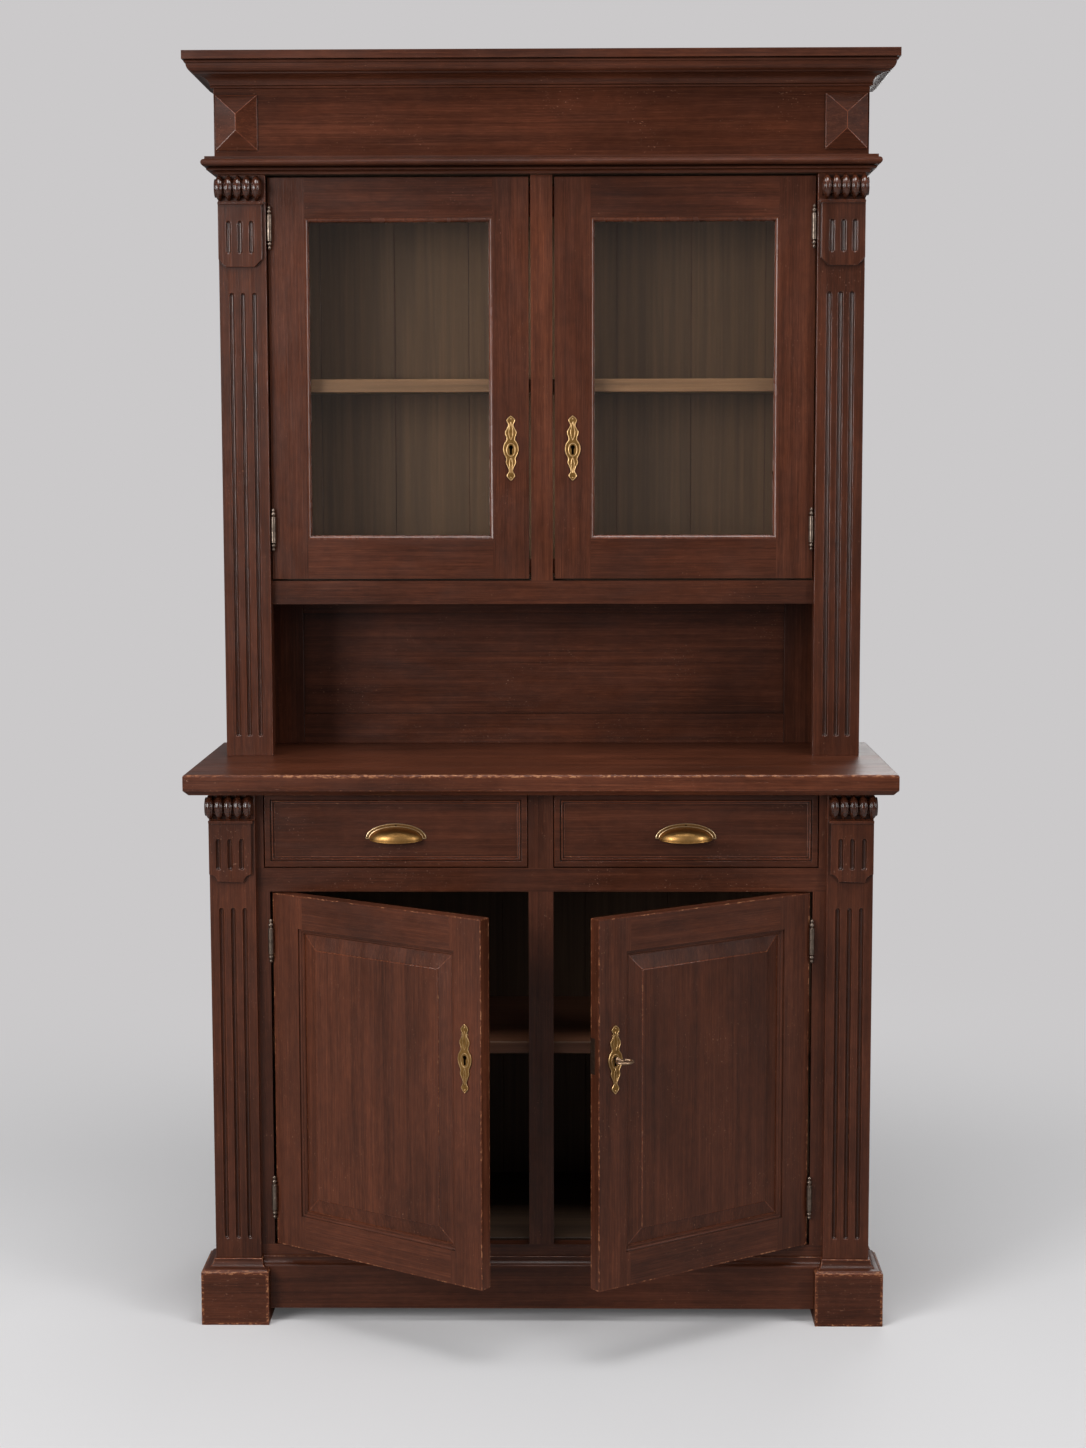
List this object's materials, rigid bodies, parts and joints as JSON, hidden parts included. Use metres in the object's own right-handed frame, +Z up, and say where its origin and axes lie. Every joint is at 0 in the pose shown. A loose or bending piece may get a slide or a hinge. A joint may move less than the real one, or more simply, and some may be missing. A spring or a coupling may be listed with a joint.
{
  "type": "dresser with hutch",
  "caption": "Tall stained wood dresser: glazed hutch with cornice and open niche on a base with drawers, panelled doors and fluted pilasters.",
  "frame": {"origin": "middle of the footprint on the floor, with the lower doors standing ajar as in the picture", "axes": "+Z up, -Y towards the doors and drawers, +X to the right when facing the front"},
  "size_m": [1.162, 0.6492, 2.0605],
  "materials": {
    "stained_wood": "dark red-brown stain under satin wax",
    "inner_wood": "thin brown stain, matt",
    "brass": "aged brass, darkened in the hollows",
    "hinge_bronze": "turned bronze, grey with age",
    "lock_iron": "plain iron, worn",
    "glass": "clear window glass"
  },
  "bodies": {
    "case": {"foot_left": "stained_wood", "foot_right": "stained_wood", "plinth_left": "stained_wood", "plinth_right": "stained_wood", "plinth_front": "stained_wood", "base_side_left": "stained_wood", "base_side_right": "stained_wood", "hutch_side_left": "stained_wood", "hutch_side_right": "stained_wood", "base_pilaster_left": "stained_wood", "base_pilaster_right": "stained_wood", "base_capital_left": "stained_wood", "base_capital_right": "stained_wood", "hutch_pilaster_left": "stained_wood", "hutch_pilaster_right": "stained_wood", "hutch_capital_left": "stained_wood", "hutch_capital_right": "stained_wood", "base_face_frame": "stained_wood", "worktop": "stained_wood", "hutch_back": "stained_wood", "hutch_face_frame": "stained_wood", "neck_moulding": "stained_wood", "frieze": "stained_wood", "cornice": "stained_wood", "base_floor": "inner_wood", "base_shelf": "inner_wood", "base_back": "inner_wood", "drawer_dust_board": "inner_wood", "hutch_floor": "inner_wood", "hutch_shelf": "inner_wood", "hutch_top": "inner_wood", "upper_left_door_hinge_bottom": "hinge_bronze", "upper_left_door_hinge_top": "hinge_bronze", "upper_right_door_hinge_bottom": "hinge_bronze", "upper_right_door_hinge_top": "hinge_bronze", "lower_left_door_hinge_bottom": "hinge_bronze", "lower_left_door_hinge_top": "hinge_bronze", "lower_right_door_hinge_bottom": "hinge_bronze", "lower_right_door_hinge_top": "hinge_bronze"},
    "drawer_left": {"drawer_left_front": "stained_wood", "drawer_left_box": "inner_wood", "drawer_left_pull": "brass"},
    "drawer_right": {"drawer_right_front": "stained_wood", "drawer_right_box": "inner_wood", "drawer_right_pull": "brass"},
    "upper_left_door": {"upper_left_door_frame": "stained_wood", "upper_left_door_glass": "glass", "upper_left_door_escutcheon": "brass"},
    "upper_right_door": {"upper_right_door_frame": "stained_wood", "upper_right_door_glass": "glass", "upper_right_door_escutcheon": "brass"},
    "lower_left_door": {"lower_left_door_frame": "stained_wood", "lower_left_door_panel": "stained_wood", "lower_left_door_escutcheon": "brass"},
    "lower_right_door": {"lower_right_door_frame": "stained_wood", "lower_right_door_panel": "stained_wood", "lower_right_door_escutcheon": "brass", "lock_case": "lock_iron"},
    "bolt": {"lock_bolt": "lock_iron"},
    "key": {"door_key": "lock_iron"}
  },
  "joints": [
    {"name": "drawer_left_slide", "type": "slide", "parent": "case", "child": "drawer_left", "axis": [0, -1, 0], "range_m": [0, 0.27]},
    {"name": "drawer_right_slide", "type": "slide", "parent": "case", "child": "drawer_right", "axis": [0, -1, 0], "range_m": [0, 0.27]},
    {"name": "upper_left_door_hinge", "type": "hinge", "parent": "case", "child": "upper_left_door", "pos_m": [-0.4492, 0.14009, 1.534], "axis": [0, 0, -1], "range_deg": [0, 105]},
    {"name": "upper_right_door_hinge", "type": "hinge", "parent": "case", "child": "upper_right_door", "pos_m": [0.4492, 0.14009, 1.534], "axis": [0, 0, 1], "range_deg": [0, 105]},
    {"name": "lower_left_door_hinge", "type": "hinge", "parent": "case", "child": "lower_left_door", "pos_m": [-0.4358, -0.07441, 0.418], "axis": [0, 0, -1], "range_deg": [-33.6, 71.4]},
    {"name": "lower_right_door_hinge", "type": "hinge", "parent": "case", "child": "lower_right_door", "pos_m": [0.4358, -0.07441, 0.418], "axis": [0, 0, 1], "range_deg": [-34.3, 70.7]},
    {"name": "key_turn", "type": "hinge", "parent": "lower_right_door", "child": "key", "pos_m": [0.11604, -0.28672, 0.491], "axis": [0.5635, -0.8261, 0], "range_deg": [0, 180]},
    {"name": "bolt_slide", "type": "slide", "parent": "lower_right_door", "child": "bolt", "axis": [-0.8261, -0.5635, 0], "range_m": [0, 0.008]}
  ],
  "couplings": [
    {"joint": "bolt_slide", "follows": "key_turn", "m_per_rad": 0.0025464}
  ]
}
